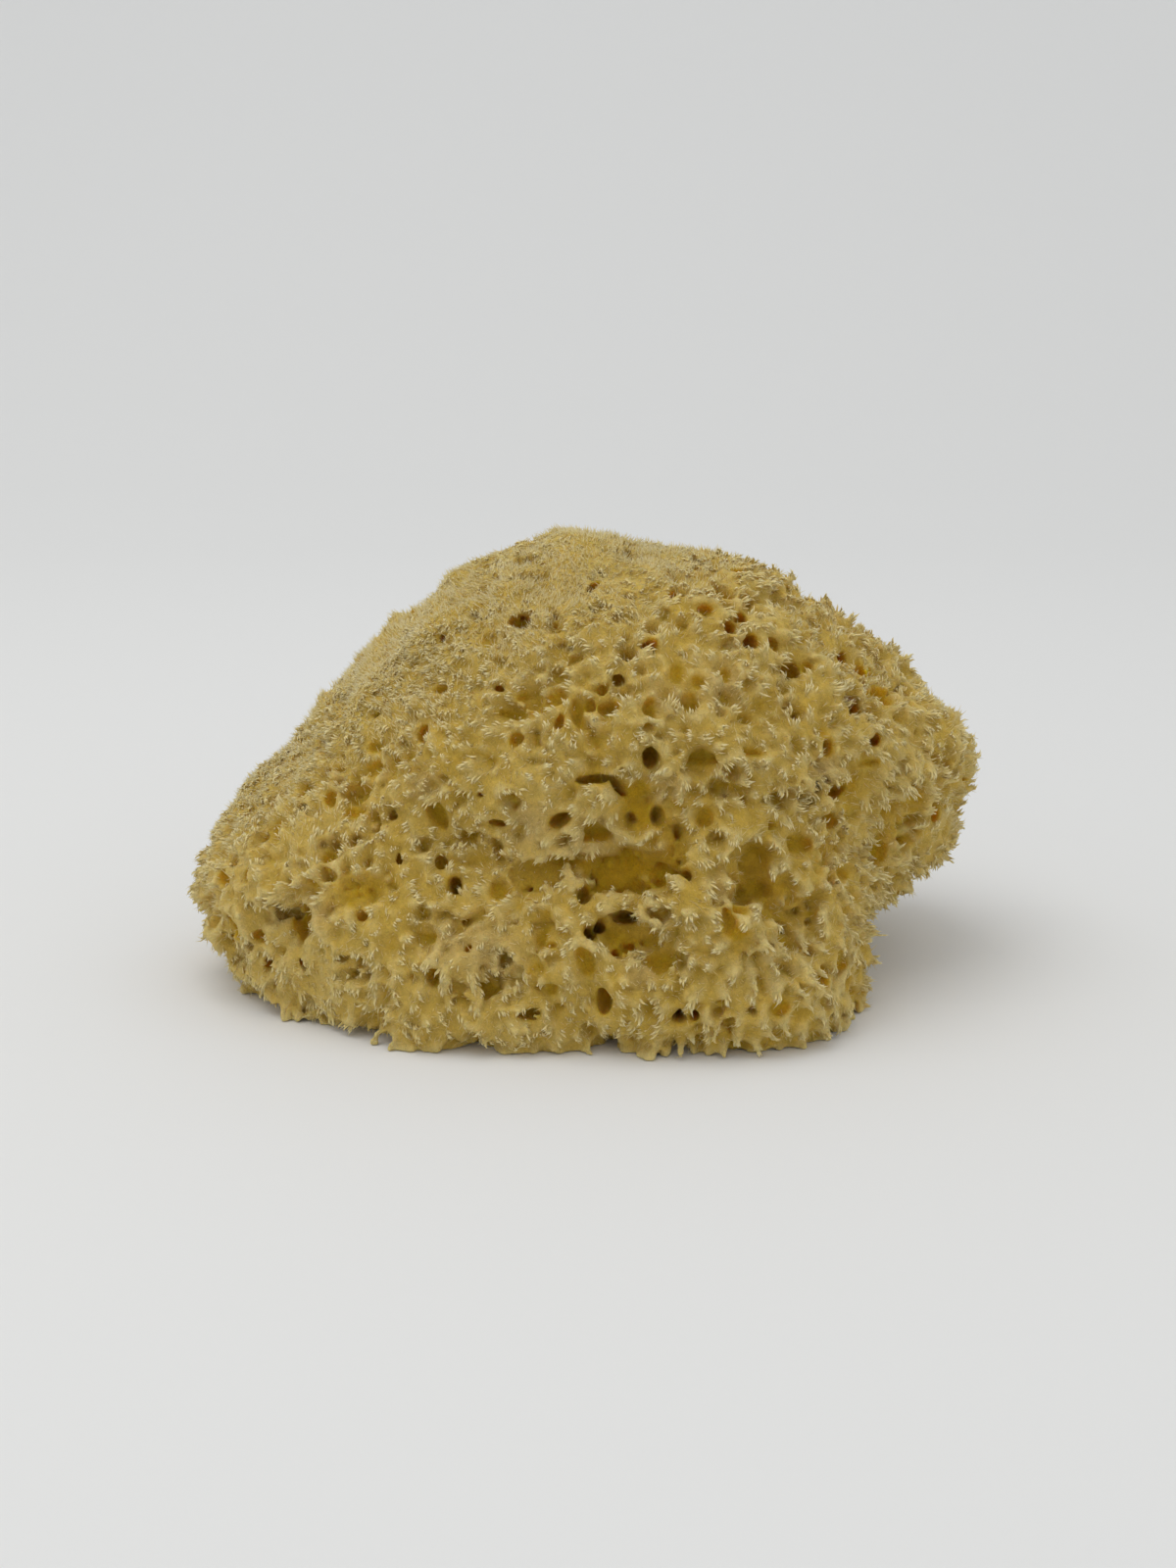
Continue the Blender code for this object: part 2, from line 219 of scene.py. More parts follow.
# The pores at the front, each as it looks from the camera: millimetres to the right of the
# picture's middle and above it, half its width, half its height, how far it is turned
# anticlockwise, and its depth.
FRONT_PORES = [
    # The upper left, where the pores are low and wide.
    (-28, 18, 1.3, 0.6, 0, 2.5), (-16.5, 18, 1.1, 0.7, 0, 2.5), (-18.5, 16, 0.8, 0.6, 0, 2.5),
    (-11, 17, 1.9, 0.7, 5, 2.5), (-6, 16.5, 1.2, 0.9, 0, 1.8), (-14.5, 13.5, 2.2, 0.9, -5, 3.5),
    (-31, 9.5, 1, 1.3, -20, 3.5), (-24, 11, 0.9, 0.7, 0, 2.5), (-20.5, 10, 1.5, 0.9, 30, 2.5),
    (-40, 11.5, 1.9, 1.3, 0, 1.2), (-40.5, 7, 1.1, 0.7, 0, 2.5), (-41.5, 3, 1.9, 0.9, 0, 1.8),
    (-52.5, 7.5, 1.2, 0.6, 20, 1.8), (-27, 28, 0.9, 0.7, 0, 2.5), (-19, 27.5, 1.7, 1.2, 0, 1.8),
    (-17, 37, 1.5, 0.6, 15, 1.8), (-8, 41, 1.3, 1, 0, 2.5), (-12, 30.5, 2.2, 1.5, -25, 4.5),
    (-13, 33, 0.7, 1.4, 20, 3), (-13.5, 8.5, 1.1, 0.7, 0, 2.5), (-9, 14.5, 1.4, 1.1, 0, 1.8),
    (-5.5, 11.5, 0.7, 1.2, -10, 3),
    # The left end.
    (-44, -2, 2.2, 1.4, 0, 4.5), (-44.5, -5.5, 1.6, 1, 0, 4.5), (-43.5, 1, 0.9, 0.7, 0, 2.5),
    (-59.5, -8.5, 1.5, 1.5, 0, 3.5), (-54, -1.5, 1.1, 1.1, 0, 1.8), (-49, -3, 1.1, 1.1, 0, 1.8),
    (-37, -6.5, 0.9, 0.9, 0, 2.5), (-35, -9, 0.9, 0.9, 0, 2.5), (-49, -13.5, 1.1, 2.2, -25, 3.5),
    (-53, -19.5, 0.9, 1, 0, 4.5), (-54.5, -26.5, 2.1, 3.2, -10, 5), (-41.5, -20.5, 1.5, 2.1, 0, 2.5),
    (-45.5, -21, 1.9, 1.5, 0, 1.8), (-43, -25.5, 1.1, 0.8, 0, 3), (-31, -29.5, 1.5, 0.8, 0, 3.5),
    (-43, -33, 1, 1.2, 0, 3.5), (-29.5, -36.5, 0.8, 1.5, 0, 3), (-69.5, -18, 1.1, 1, 0, 2.5),
    (-65, -17.5, 0.7, 1, 0, 1.8), (-64.5, -22, 1.4, 0.8, 0, 1.8), (-67.5, -27, 1.2, 2.2, 20, 2.5),
    (-62.5, -29, 1.3, 0.9, 0, 2.5), (-61, -34, 2.1, 1, 0, 2.5), (-54.5, -33.5, 0.9, 1.1, 0, 2.5),
    (-40, -25.5, 0.9, 0.9, 0, 3), (-36, -14, 0.9, 1.3, 0, 2.5), (-28.5, -16, 1.5, 1.5, 0, 2.5),
    (-25.5, -19.5, 1.2, 1.6, 10, 5), (-29, -6, 1.3, 2.4, 35, 3), (-23.5, 3.5, 1.5, 0.7, 0, 2.5),
    (-20.5, -2, 1, 0.6, 20, 3),
    # The torn and folded middle.
    (4, 14.5, 1.8, 1.1, -5, 3.5), (0.5, 14.5, 0.9, 1.1, 0, 3.5), (-2, 13.5, 0.9, 2, 0, 2.5),
    (3, 18, 0.8, 1.3, 0, 2.5), (5.5, 20.5, 1.6, 1.1, 0, 3), (11.5, 13.5, 0.9, 2.2, -15, 1.8),
    (20, 15, 0.9, 2.1, 10, 2.5), (12, 5, 1.3, 1.6, 0, 6), (22, 5, 3.6, 1, 0, 3),
    (31.5, 6, 1.6, 0.7, -10, 3), (6, 0, 2.4, 0.9, -38, 6), (1, 1, 2.6, 0.7, 5, 5),
    (10, -4, 2.1, 3.6, 5, 4.5), (13.5, -6, 1, 1.6, 0, 6), (8, -7, 0.8, 1.1, 0, 6),
    (16.5, -4, 1.7, 0.6, -15, 3), (-5.5, -7, 1.9, 0.9, 25, 5), (1.5, -9.5, 2.4, 1.3, 5, 4.5),
    (17.5, -9.5, 0.8, 1.5, 0, 5), (22.5, -6.5, 1.1, 1.5, -10, 3), (17.5, -13, 1.2, 3.4, 0, 2.5),
    (13.5, -16, 0.8, 0.7, 0, 5), (18.5, -17.5, 0.9, 0.9, 0, 5), (-0.5, -21, 1, 1.7, -20, 6),
    (0.5, -28.5, 1, 1.1, 20, 9), (2.5, -27, 0.8, 1, 0, 9), (7.5, -25.5, 1.9, 1, 0, 7),
    (12, -29.5, 1, 1.4, 0, 4.5), (14, -34, 2.1, 1.9, 0, 3), (5.5, -32, 0.7, 0.7, 0, 5),
    (6, -29, 2.2, 2.2, 0, 2.5), (-6.5, -16, 1.2, 1.7, 0, 3), (-10, -17.5, 3.6, 2.4, 0, 1.8),
    (-17, -20.5, 1.3, 1.3, 0, 3), (-8.5, -28, 0.8, 2.7, -8, 3), (-7.5, -31, 1.2, 0.7, 0, 3),
    (-17.5, -7, 1.5, 0.9, 0, 3), (-22.5, -9.5, 1.1, 0.9, 0, 4.5), (-0.5, -34, 1.2, 2.6, 15, 2.5),
    (-10, -35.5, 1.1, 0.9, 0, 3), (-19, -39, 1.9, 1.5, 0, 2.5), (-24, -42, 0.8, 0.6, 0, 3),
    (-7.5, -38.5, 1.5, 1.5, 0, 1.8), (-22.5, -32, 0.8, 0.7, 0, 2.5), (3, -41.5, 1.2, 2.1, 10, 5),
    (17.5, -44.5, 0.9, 0.9, 0, 7), (20.5, -44, 0.9, 0.9, 0, 7), (-11, -44, 1.9, 1, 0, 3.5),
    # The right side and the overhanging lobe.
    (17, 35.5, 1.4, 1.1, 10, 4.7), (22.5, 33.5, 1.1, 0.8, 0, 2.5), (27, 30, 1, 1.2, 0, 4.7),
    (29.5, 31.5, 0.8, 1.6, 0, 4.7), (31, 27, 1.1, 1.8, 0, 5), (35, 26, 1.3, 1.3, 0, 2.5),
    (38.5, 21.5, 1.8, 1.6, 0, 4.7), (42, 22, 0.7, 0.9, 0, 2.5), (48.5, 24, 0.9, 1.6, -15, 4.7),
    (53, 22, 1.6, 1.2, 0, 4.7), (11.5, 26, 1.1, 1.1, 0, 4.7), (26, 21, 0.8, 1.3, 0, 3),
    (21, 19.5, 0.9, 0.9, 0, 3), (17, 21.5, 0.9, 1.5, 0, 3), (1, 38, 0.8, 0.9, 0, 2.5),
    (57, 17.5, 1.9, 2.2, -20, 4.8), (49, 14.5, 2.2, 1.7, 20, 4.8), (54.5, 8.5, 1.4, 1.2, 30, 4.7),
    (46.5, 7, 0.9, 1.2, 0, 4.7), (45, 10, 0.7, 0.8, 0, 2.5), (33.5, 15.5, 0.7, 0.9, 0, 3),
    (47, -1.5, 3.8, 1, 25, 6), (51.5, 0, 2.1, 1.9, 0, 3), (54, 4, 2.1, 0.6, 0, 2.5),
    (45.5, -7, 1.9, 1.2, 10, 3.5), (60, 3, 1.5, 0.6, 0, 3), (65.5, 1, 0.9, 1.4, 0, 1.8),
    (57.5, -4, 1.7, 1.7, 0, 1.8), (62.5, -4, 1.4, 2.2, 0, 1.8), (65.5, -5.5, 1.5, 1.7, 0, 2.5),
    (51, -5.5, 1.4, 1.2, 0, 1.8), (35, -8, 1.3, 0.8, 0, 2.5), (55.5, -13, 1.5, 2.1, 0, 2.5),
    (32, -14.5, 2.2, 2.4, 0, 3.5), (32.5, -20.5, 2.1, 2, 0, 5), (38, -20, 1.2, 1.8, 25, 3.5),
    (29, -23.5, 1, 1.5, 10, 4.5), (28, -21, 0.9, 0.9, 0, 3.5), (39.5, -25, 1.5, 0.8, -8, 4.5),
    (42.5, -23.5, 1.2, 1.6, 10, 3.5), (49, -25, 1.1, 1, 0, 3), (38, -29.5, 1.1, 2.3, 15, 4.5),
    (27, -26.5, 1.1, 2.2, 20, 3), (29.5, -29.5, 1.2, 1.2, 0, 3.5), (29, -32, 0.8, 0.7, 0, 4.5),
    (40, -11.5, 2.3, 1.3, 5, 2.5), (49.5, -16.5, 2.2, 1, 0, 3.5), (45, -36.5, 0.9, 2.1, 25, 2.5),
    (48.5, -34, 1.4, 1.4, 0, 1.8), (36.5, -42.5, 1.4, 1.5, 0, 1.8),
]

# The larger hollows at the front, bare and smooth, in the same way.
FRONT_BOWLS = [
    (8, -16.5, 9.5, 3.8, 4, 3.2), (9, -5, 3.8, 4.4, 0, 3.2), (52, -1, 4.5, 4.5, 0, 1.8),
    (8, -29.5, 6, 3, -10, 2.4), (-9.5, -17.5, 4.5, 2.8, 0, 1.6), (31, -17, 4, 6, 10, 1.8),
    (16.5, -12, 2.2, 5, 0, 2.2), (-46, -21, 6, 3, 0, 1.2), (60, -7, 6, 7, 0, 1.0),
]

NEAREST_SKIN, FARTHEST_SKIN = 340, 520
SIGHT_STEP = 0.4


def front_place(right, up):
    """Where the line of sight through a place in the picture first meets the smooth form."""
    sight = target + camera_right * right + camera_up * up - eye
    sight /= np.linalg.norm(sight)
    line = eye + sight * np.arange(NEAREST_SKIN, FARTHEST_SKIN, SIGHT_STEP)[:, None]
    inside = height_over_form(line) < 0
    return line[np.argmax(inside)] if inside.any() else None


def seen_hollow(right, up, half_width, half_height, turn, depth):
    """A hollow seen from the camera: its middle, its three directions and its three radii."""
    place = front_place(right, up)
    if place is None:
        return None
    inward = -outward(place[None])[0] - camera_back
    inward /= np.linalg.norm(inward)
    turn = math.radians(turn)
    across = camera_right * math.cos(turn) + camera_up * math.sin(turn)
    across -= inward * (across @ inward)
    across /= np.linalg.norm(across)
    axes = np.array([across, np.cross(inward, across), inward])
    return place, axes, np.array([half_width, half_height, float(depth)])


# Most pores end a little way in, on a floor of painted amber shade; only the deepest stay dark, in
# real and painted shade.
DARK_PORE = 4.6
PORE_WIDENING = 1.2
AMBER_SHARE = 0.75
AMBER_DEPTH = (0.1, 1.3)
hollows = []
for right, up, half_width, half_height, turn, depth in FRONT_PORES:
    if depth < DARK_PORE:
        most = AMBER_DEPTH[0] + AMBER_DEPTH[1] * (half_width + half_height) / 2
        depth = min(AMBER_SHARE * depth, most)
    half_width *= PORE_WIDENING
    half_height *= PORE_WIDENING
    hollow = seen_hollow(right, up, half_width, half_height, turn, depth)
    if hollow:
        hollows.append(hollow)
bowls = [hollow for hollow in (seen_hollow(*bowl) for bowl in FRONT_BOWLS) if hollow]


def skin_hollow(place, radius, widening, depth):
    """A hollow that goes straight in, wider one way than the other."""
    out = outward(place[None])[0]
    across = np.cross(out, random.normal(size=3))
    across /= np.linalg.norm(across)
    axes = np.array([across, np.cross(out, across), -out])
    return place, axes, np.array([radius * widening, radius / widening, depth])


# On the other sides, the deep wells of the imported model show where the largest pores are.
# A pore there is as deep as a fixed length and a share of its radius together.
WELL_DEPTH = 3.0
WELL_WIDTH = 4.5
LEAST_PORE, LARGEST_PORE = 1.4, 2.8
WELL_FLOOR_SHARE = 0.7
WELL_STRETCH = (1.0, 1.25)
WELL_PORE_DEPTH = (1, 1.5)
UNSEEN = 0.2
depths = -height_over_form(solid_corners)
deepest_first = np.argsort(-depths)
deepest_first = deepest_first[depths[deepest_first] > WELL_DEPTH]
unread = solid_corners[deepest_first]
while len(unread):
    in_this_well = np.linalg.norm(unread - unread[0], axis=1) < WELL_WIDTH
    floor = unread[in_this_well]
    middle = floor.mean(0)
    radius = np.linalg.norm(floor - middle, axis=1).mean() / WELL_FLOOR_SHARE
    mouth = settled(middle[None])[0]
    unread = unread[~in_this_well]
    if outward(mouth[None])[0] @ camera_back < UNSEEN:
        radius = float(np.clip(radius, LEAST_PORE, LARGEST_PORE))
        widening = random.uniform(*WELL_STRETCH)
        depth = WELL_PORE_DEPTH[0] + WELL_PORE_DEPTH[1] * radius
        hollows.append(skin_hollow(mouth, radius, widening, depth))

# Smaller pores lie between them, and on the cut, where most are small and a few are wide.
SMALL_PORE_GAP = 7.0
SMALL_PORE = (0.7, 1.7)
SMALL_PORE_STRETCH = (1.0, 1.5)
SMALL_PORE_DEPTH = (0.6, 1.1)
TURNED_AWAY = 0.15
TURNED_AWAY_PLACES = 12000
mouths = np.array([place for place, _, _ in hollows])
turned_away = skin_places[outward(skin_places) @ camera_back < TURNED_AWAY]
turned_away = turned_away[:TURNED_AWAY_PLACES]
candidates = np.vstack([mouths, turned_away])
kept = spaced(candidates, np.full(len(candidates), SMALL_PORE_GAP))
for place in candidates[kept[kept >= len(mouths)]]:
    radius = random.uniform(*SMALL_PORE)
    widening = random.uniform(*SMALL_PORE_STRETCH)
    depth = SMALL_PORE_DEPTH[0] + SMALL_PORE_DEPTH[1] * radius
    hollows.append(skin_hollow(place, radius, widening, depth))
CUT_PORE_GAP = 4.2
LEAST_CUT_PORE, CUT_PORE_RANGE = 0.5, 1.8
CUT_PORE_STRETCH = (1.0, 1.3)
CUT_PORE_DEPTH = 4.0
kept = spaced(cut_places, np.full(len(cut_places), CUT_PORE_GAP))
for place in cut_places[kept]:
    radius = LEAST_CUT_PORE + CUT_PORE_RANGE * random.uniform(0, 1) ** 2
    widening = random.uniform(*CUT_PORE_STRETCH)
    turn = random.uniform(0, math.pi)
    across = np.array([math.cos(turn), math.sin(turn), 0])
    axes = np.array([across, np.cross([0, 0, 1], across), [0, 0, 1]])
    radii = np.array([radius * widening, radius / widening, CUT_PORE_DEPTH])
    hollows.append((place, axes, radii))

# The fine grid that the skin grows on.
GRID_STEP = 0.42
GRID_MARGIN = 5
grid_corner = np.floor((solid_corners.min(0) - GRID_MARGIN) / GRID_STEP).astype(int)
grid_shape = np.ceil((solid_corners.max(0) + GRID_MARGIN) / GRID_STEP).astype(int) - grid_corner


def grid_value(field, points):
    """A fine field's value at each point."""
    return sample(field, grid_corner, GRID_STEP, points)


def finer(field, corner, step):
    """A coarse field carried over to the fine grid."""
    for axis in range(3):
        place = (np.arange(grid_shape[axis]) + grid_corner[axis]) * GRID_STEP
        place = place / (step[axis] if np.ndim(step) else step) - corner[axis]
        low = np.clip(np.floor(place).astype(int), 0, field.shape[axis] - 2)
        along = [1, 1, 1]
        along[axis] = -1
        share = (place - low).astype(np.float32).reshape(along)
        field = np.take(field, low, axis) * (1 - share) + np.take(field, low + 1, axis) * share
    return field


def block(point, reach):
    """The part of the fine grid within reach of a point, and the steps from the point to it."""
    low = np.maximum(np.floor((point - reach) / GRID_STEP).astype(int) - grid_corner, 0)
    high = np.minimum(np.ceil((point + reach) / GRID_STEP).astype(int) - grid_corner, grid_shape)
    part = tuple(slice(first, last) for first, last in zip(low, high))
    steps = []
    for axis in range(3):
        along = [1, 1, 1]
        along[axis] = -1
        places = (np.arange(low[axis], high[axis]) + grid_corner[axis]) * GRID_STEP - point[axis]
        steps.append(places.astype(np.float32).reshape(along))
    return part, steps


def sidelong(normals):
    """A random direction along the skin for each outward direction."""
    loose = random.normal(size=normals.shape)
    loose -= normals * (loose * normals).sum(1)[:, None]
    return loose / np.linalg.norm(loose, axis=1)[:, None]


FAR = 9.0


def stamp_hollows(shapes, margin, sunk):
    """How far each place of the fine grid lies outside the nearest of the hollows."""
    field = np.full(grid_shape, FAR, np.float32)
    for place, axes, radii in shapes:
        centre = place + axes[2] * radii[2] * sunk
        radii = radii * [1, 1, 1 - sunk]
        part, (x, y, z) = block(centre, radii.max() + margin)
        scaled = np.float32(0)
        slope = np.float32(0)
        for axis, radius in zip(axes, radii):
            along = (x * axis[0] + y * axis[1] + z * axis[2]) / radius
            scaled = scaled + along**2
            slope = slope + (along / radius) ** 2
        scaled = np.sqrt(scaled)
        distance = scaled * (scaled - 1) / np.sqrt(np.maximum(slope, 1e-6))
        field[part] = np.minimum(field[part], distance)
    return field


def lumps(step, height, seed):
    """Small random lumps about one step wide, or three steps, on the fine grid."""
    corner = np.floor(grid_corner * GRID_STEP / np.array(step)).astype(int) - 1
    shape = np.ceil(grid_shape * GRID_STEP / np.array(step)).astype(int) + 4
    field = np.random.default_rng(seed).normal(scale=height, size=shape).astype(np.float32)
    return finer(field, corner, step)


def blurred(field, reach):
    """The field's average over a block that reaches so many millimetres each way, twice over."""
    cells = round(reach / GRID_STEP)
    for axis in (0, 1, 2, 0, 1, 2):
        ends = [(0, 0)] * 3
        ends[axis] = (cells + 1, cells)
        total = np.cumsum(np.pad(field, ends, "edge"), axis, dtype=np.float64)
        after = np.take(total, range(2 * cells + 1, total.shape[axis]), axis)
        before = np.take(total, range(total.shape[axis] - 2 * cells - 1), axis)
        field = ((after - before) / (2 * cells + 1)).astype(np.float32)
    return field


def dug(skin, hole, lip):
    """The skin with a hole taken out of it and the edge of the hole rounded."""
    share = np.clip(0.5 + 0.5 * (skin + hole) / lip, 0, 1)
    return skin * share - hole * (1 - share) + lip * share * (1 - share)


# Lumps of one kind are told by their width, their height and the seed of their own draws.
BOWL_MARGIN = 6.0
BOWL_LUMPS = (4.0, 0.3, 31)
bowl = stamp_hollows(bowls, BOWL_MARGIN, 0.0)
bowl += lumps(*BOWL_LUMPS)

# The pits: each is a cell with its own middle, and low ridges stand where two cells meet.
PIT_PLACES = 25000
PIT_GAP = (2.6, 5.0)
PORE_RIM = 0.8
WOOLLY_GAP_LOSS = 0.3
WOOLLY_SINK_LOSS = 0.45
PIT_PULL = 0.5
PIT_FLATNESS = 0.8
PIT_REACH = 6.5
PIT_SINK = (0.2, 2.1)
FEW_DEEP = 1.7
PIT_STRETCH = (0.0, 0.65)
PORE_SINK = 0.5
pore_mouths = np.array([place for place, _, _ in hollows])
pore_radii = np.array([radii[:2].mean() for _, _, radii in hollows])
candidates = np.vstack([pore_mouths, skin_places[:PIT_PLACES]])
gaps = np.concatenate([
    2 * pore_radii + PORE_RIM,
    random.uniform(*PIT_GAP, len(candidates) - len(hollows)),
])
gaps[len(hollows):] *= 1 - WOOLLY_GAP_LOSS * woolly(candidates[len(hollows):])
kept = spaced(candidates, gaps)
pit_middles = candidates[kept]
pit_normals = outward(pit_middles)
pit_sidelong = sidelong(pit_normals)
is_pore = kept < len(hollows)
pit_pull = np.where(
    is_pore,
    pore_radii[np.minimum(kept, len(hollows) - 1)] - PORE_RIM,
    random.uniform(-PIT_PULL, PIT_PULL, len(kept)),
)
pit_sink = PIT_SINK[0] + (PIT_SINK[1] - PIT_SINK[0]) * random.uniform(0, 1, len(kept)) ** FEW_DEEP
pit_sink *= 1 - WOOLLY_SINK_LOSS * woolly(pit_middles)
pit_sink[is_pore] = PORE_SINK
pit_stretch = random.uniform(*PIT_STRETCH, len(kept))

nearest = np.full(grid_shape, FAR, np.float32)
second = np.full(grid_shape, FAR, np.float32)
sink = np.zeros(grid_shape, np.float32)
for middle, normal, side, pull, depth, stretch in zip(
    pit_middles, pit_normals, pit_sidelong, pit_pull, pit_sink, pit_stretch
):
    part, (x, y, z) = block(middle, PIT_REACH)
    out = x * normal[0] + y * normal[1] + z * normal[2]
    along = x * side[0] + y * side[1] + z * side[2]
    distance = x**2 + y**2 + z**2 - PIT_FLATNESS * out**2 - stretch * along**2
    distance = np.sqrt(np.maximum(distance, 0)) - pull
    before = nearest[part]
    closer = distance < before
    second[part] = np.where(closer, before, np.minimum(second[part], distance))
    sink[part] = np.where(closer, depth, sink[part])
    nearest[part] = np.where(closer, distance, before)

# The canals behind the pores, a little uneven.
CANAL_MARGIN = 1.6
CANAL_SUNK = 0.3
CANAL_LUMPS = (1.9, 0.35, 32)
canal = stamp_hollows(hollows, CANAL_MARGIN, CANAL_SUNK)
canal += lumps(*CANAL_LUMPS)

# The tufts stand where three pits meet, and along the ridges where there is room. On the
# lower right they are the longest and farthest apart, like short drooping fingers.
TUFT_GAP = (1.9, 2.9)
WOOLLY_GAP = 0.62
FINGER_GAP = 1.35
FINGERS_MIDDLE = (38, -42, 10)
FINGERS_REACH = 18
FINGERS_FADE = 1.7
TUFT_CLEARANCE = 0.4
SHAGGY_CLEARANCE = 1.0
SHAGGY_FROM, SHAGGY_TO = 5, 30
FIRST_TUFT_PLACE = 10000
FARTHEST_FROM_RIDGE = 4.4
THIRD_PIT_SHARE = 0.5
PLACES_AT_ONCE = 2000


def shaggy(points):
    """How far each point is on the shaggy right side, from 0 to 1."""
    return np.clip((points[:, 0] - SHAGGY_FROM) / (SHAGGY_TO - SHAGGY_FROM), 0, 1)


tuft_places = skin_places[FIRST_TUFT_PLACE:]
clearance = TUFT_CLEARANCE + (SHAGGY_CLEARANCE - TUFT_CLEARANCE) * shaggy(tuft_places)
from_pores = grid_value(canal, tuft_places)
from_bowls = grid_value(bowl, tuft_places)
tuft_places = tuft_places[(from_pores > clearance) & (from_bowls > TUFT_CLEARANCE)]
gap_to_ridge = np.empty(len(tuft_places))
for first in range(0, len(tuft_places), PLACES_AT_ONCE):
    some = tuft_places[first:first + PLACES_AT_ONCE]
    apart = np.linalg.norm(some[:, None] - pit_middles[None], axis=2) - pit_pull
    apart.sort(axis=1)
    gap_to_ridge[first:first + PLACES_AT_ONCE] = (
        apart[:, 1] - apart[:, 0] + THIRD_PIT_SHARE * (apart[:, 2] - apart[:, 0])
    )
best_first = np.argsort(gap_to_ridge)
best_first = best_first[gap_to_ridge[best_first] < FARTHEST_FROM_RIDGE]
tuft_places = tuft_places[best_first]


def fingered(points):
    """How far each point is among the fingers on the lower right, from 0 to 1."""
    away = np.linalg.norm(points - np.array(FINGERS_MIDDLE), axis=1)
    return np.clip(FINGERS_FADE - away / FINGERS_REACH, 0, 1)


gaps = random.uniform(*TUFT_GAP, len(tuft_places))
gaps *= 1 + (WOOLLY_GAP - 1) * woolly(tuft_places) + (FINGER_GAP - 1) * fingered(tuft_places)
tuft_places = tuft_places[spaced(tuft_places, gaps)]


def drift(points, scale, seed):
    """A direction at each point that turns slowly from place to place."""
    turns = np.random.default_rng(seed).normal(size=(3, 3, 3)) / scale
    waves = [np.sin(points @ turn + np.sin(points @ turn[::-1])) for turn in turns]
    return sum(waves)


# Low down the tufts droop, and the fingers most of all. Under each tuft the skin rises to a
# conule, a small pointed tip.
TUFT_LEAN = 0.3
WOOLLY_LEAN = 0.3
LOOSE_LEAN = 0.16
LEAN_TURN = 9.0
LEAN_SEED = 3
TUFT_DROOP = 0.5
DROOP_TOP, DROOP_HEIGHT = 42, 30
FINGER_DROOP = 0.5
TUFT_SIZE = (0.7, 1.15)
TUFT_RISE = 1.3
SHAGGY_RISE = 1.55
FINGER_RISE = 2.4
WOOLLY_RISE = 0.85
CONULE_WIDTH = 0.85
CONULE_REACH = 5.2
tuft_normals = outward(tuft_places)
finger_share = fingered(tuft_places)
woolly_share = woolly(tuft_places)
droop = TUFT_DROOP * np.clip((DROOP_TOP - tuft_places[:, 2]) / DROOP_HEIGHT, 0, 1)
droop += FINGER_DROOP * finger_share
tuft_leans = (TUFT_LEAN + WOOLLY_LEAN * woolly_share)[:, None]
tuft_axes = tuft_normals + tuft_leans * drift(tuft_places, LEAN_TURN, LEAN_SEED)
tuft_axes[:, 2] -= droop
tuft_axes += random.normal(scale=LOOSE_LEAN, size=tuft_axes.shape)
tuft_axes /= np.linalg.norm(tuft_axes, axis=1)[:, None]
tuft_sizes = random.uniform(*TUFT_SIZE, len(tuft_places))
shaggy_share = shaggy(tuft_places)
tuft_rises = TUFT_RISE + (SHAGGY_RISE - TUFT_RISE) * shaggy_share
tuft_rises += (FINGER_RISE - tuft_rises) * finger_share
tuft_rises += (WOOLLY_RISE - tuft_rises) * woolly_share
tuft_rises *= tuft_sizes
conule = np.zeros(grid_shape, np.float32)
for place, axis, size, rise in zip(tuft_places, tuft_axes, tuft_sizes, tuft_rises):
    part, (x, y, z) = block(place, CONULE_REACH)
    out = x * axis[0] + y * axis[1] + z * axis[2]
    aside = np.sqrt(np.maximum(x**2 + y**2 + z**2 - out**2, 0))
    peak = rise * np.exp(-aside / (CONULE_WIDTH * size))
    conule[part] = np.maximum(conule[part], peak)

# All of it together is the skin. Nothing of it reaches below the flat cut.
FINGER_SINK = 0.5
RIDGE_RISE = 0.1
BOWL_LIP = 3.0
CANAL_LIP = 1.0
RIDGE_WIDTH = 3.0
BOWL_EDGE, BOWL_FADE, LEAST_IN_BOWL = 0.5, 2.0, 0.1
WOOLLY_MIDDLING_LOSS, WOOLLY_FINE_LOSS = 0.75, 0.5
RIDGE_LUMPS = (1.9, 1.0, 8)
BROAD_LUMPS = (6.5, 0.8, 7)
MIDDLING_LUMPS = (3.3, 0.5, 9)
FINE_LUMPS = (1.1, 0.3, 5)
FLAT_LUMPS = ((3.2, 2.4, 1.5), 0.45, 6)
edge = np.clip((second - nearest + lumps(*RIDGE_LUMPS)) / RIDGE_WIDTH, 0, 1)
del nearest, second
surface = finer(form, form_corner, FORM_STEP) - RIDGE_RISE
surface = dug(surface, bowl, BOWL_LIP)
away_from_bowls = np.clip((bowl + BOWL_EDGE) / BOWL_FADE, LEAST_IN_BOWL, 1)
surface += sink * edge * edge * (3 - 2 * edge) * away_from_bowls
del edge, sink
wool = finer(woolly(form_points * FORM_STEP).reshape(form.shape), form_corner, FORM_STEP)
among_fingers = finer(fingered(form_points * FORM_STEP).reshape(form.shape), form_corner, FORM_STEP)
surface += FINGER_SINK * among_fingers
middling = lumps(*MIDDLING_LUMPS) * (1 - WOOLLY_MIDDLING_LOSS * wool)
surface += (lumps(*BROAD_LUMPS) + middling) * away_from_bowls
del away_from_bowls, middling
surface -= conule
surface += lumps(*FINE_LUMPS) * (1 - WOOLLY_FINE_LOSS * wool)
surface += lumps(*FLAT_LUMPS)
del wool, among_fingers
surface = dug(surface, canal, CANAL_LIP)
LOWEST = 0.05
heights = ((np.arange(grid_shape[2]) + grid_corner[2]) * GRID_STEP).astype(np.float32)
surface = np.maximum(surface, LOWEST - heights)

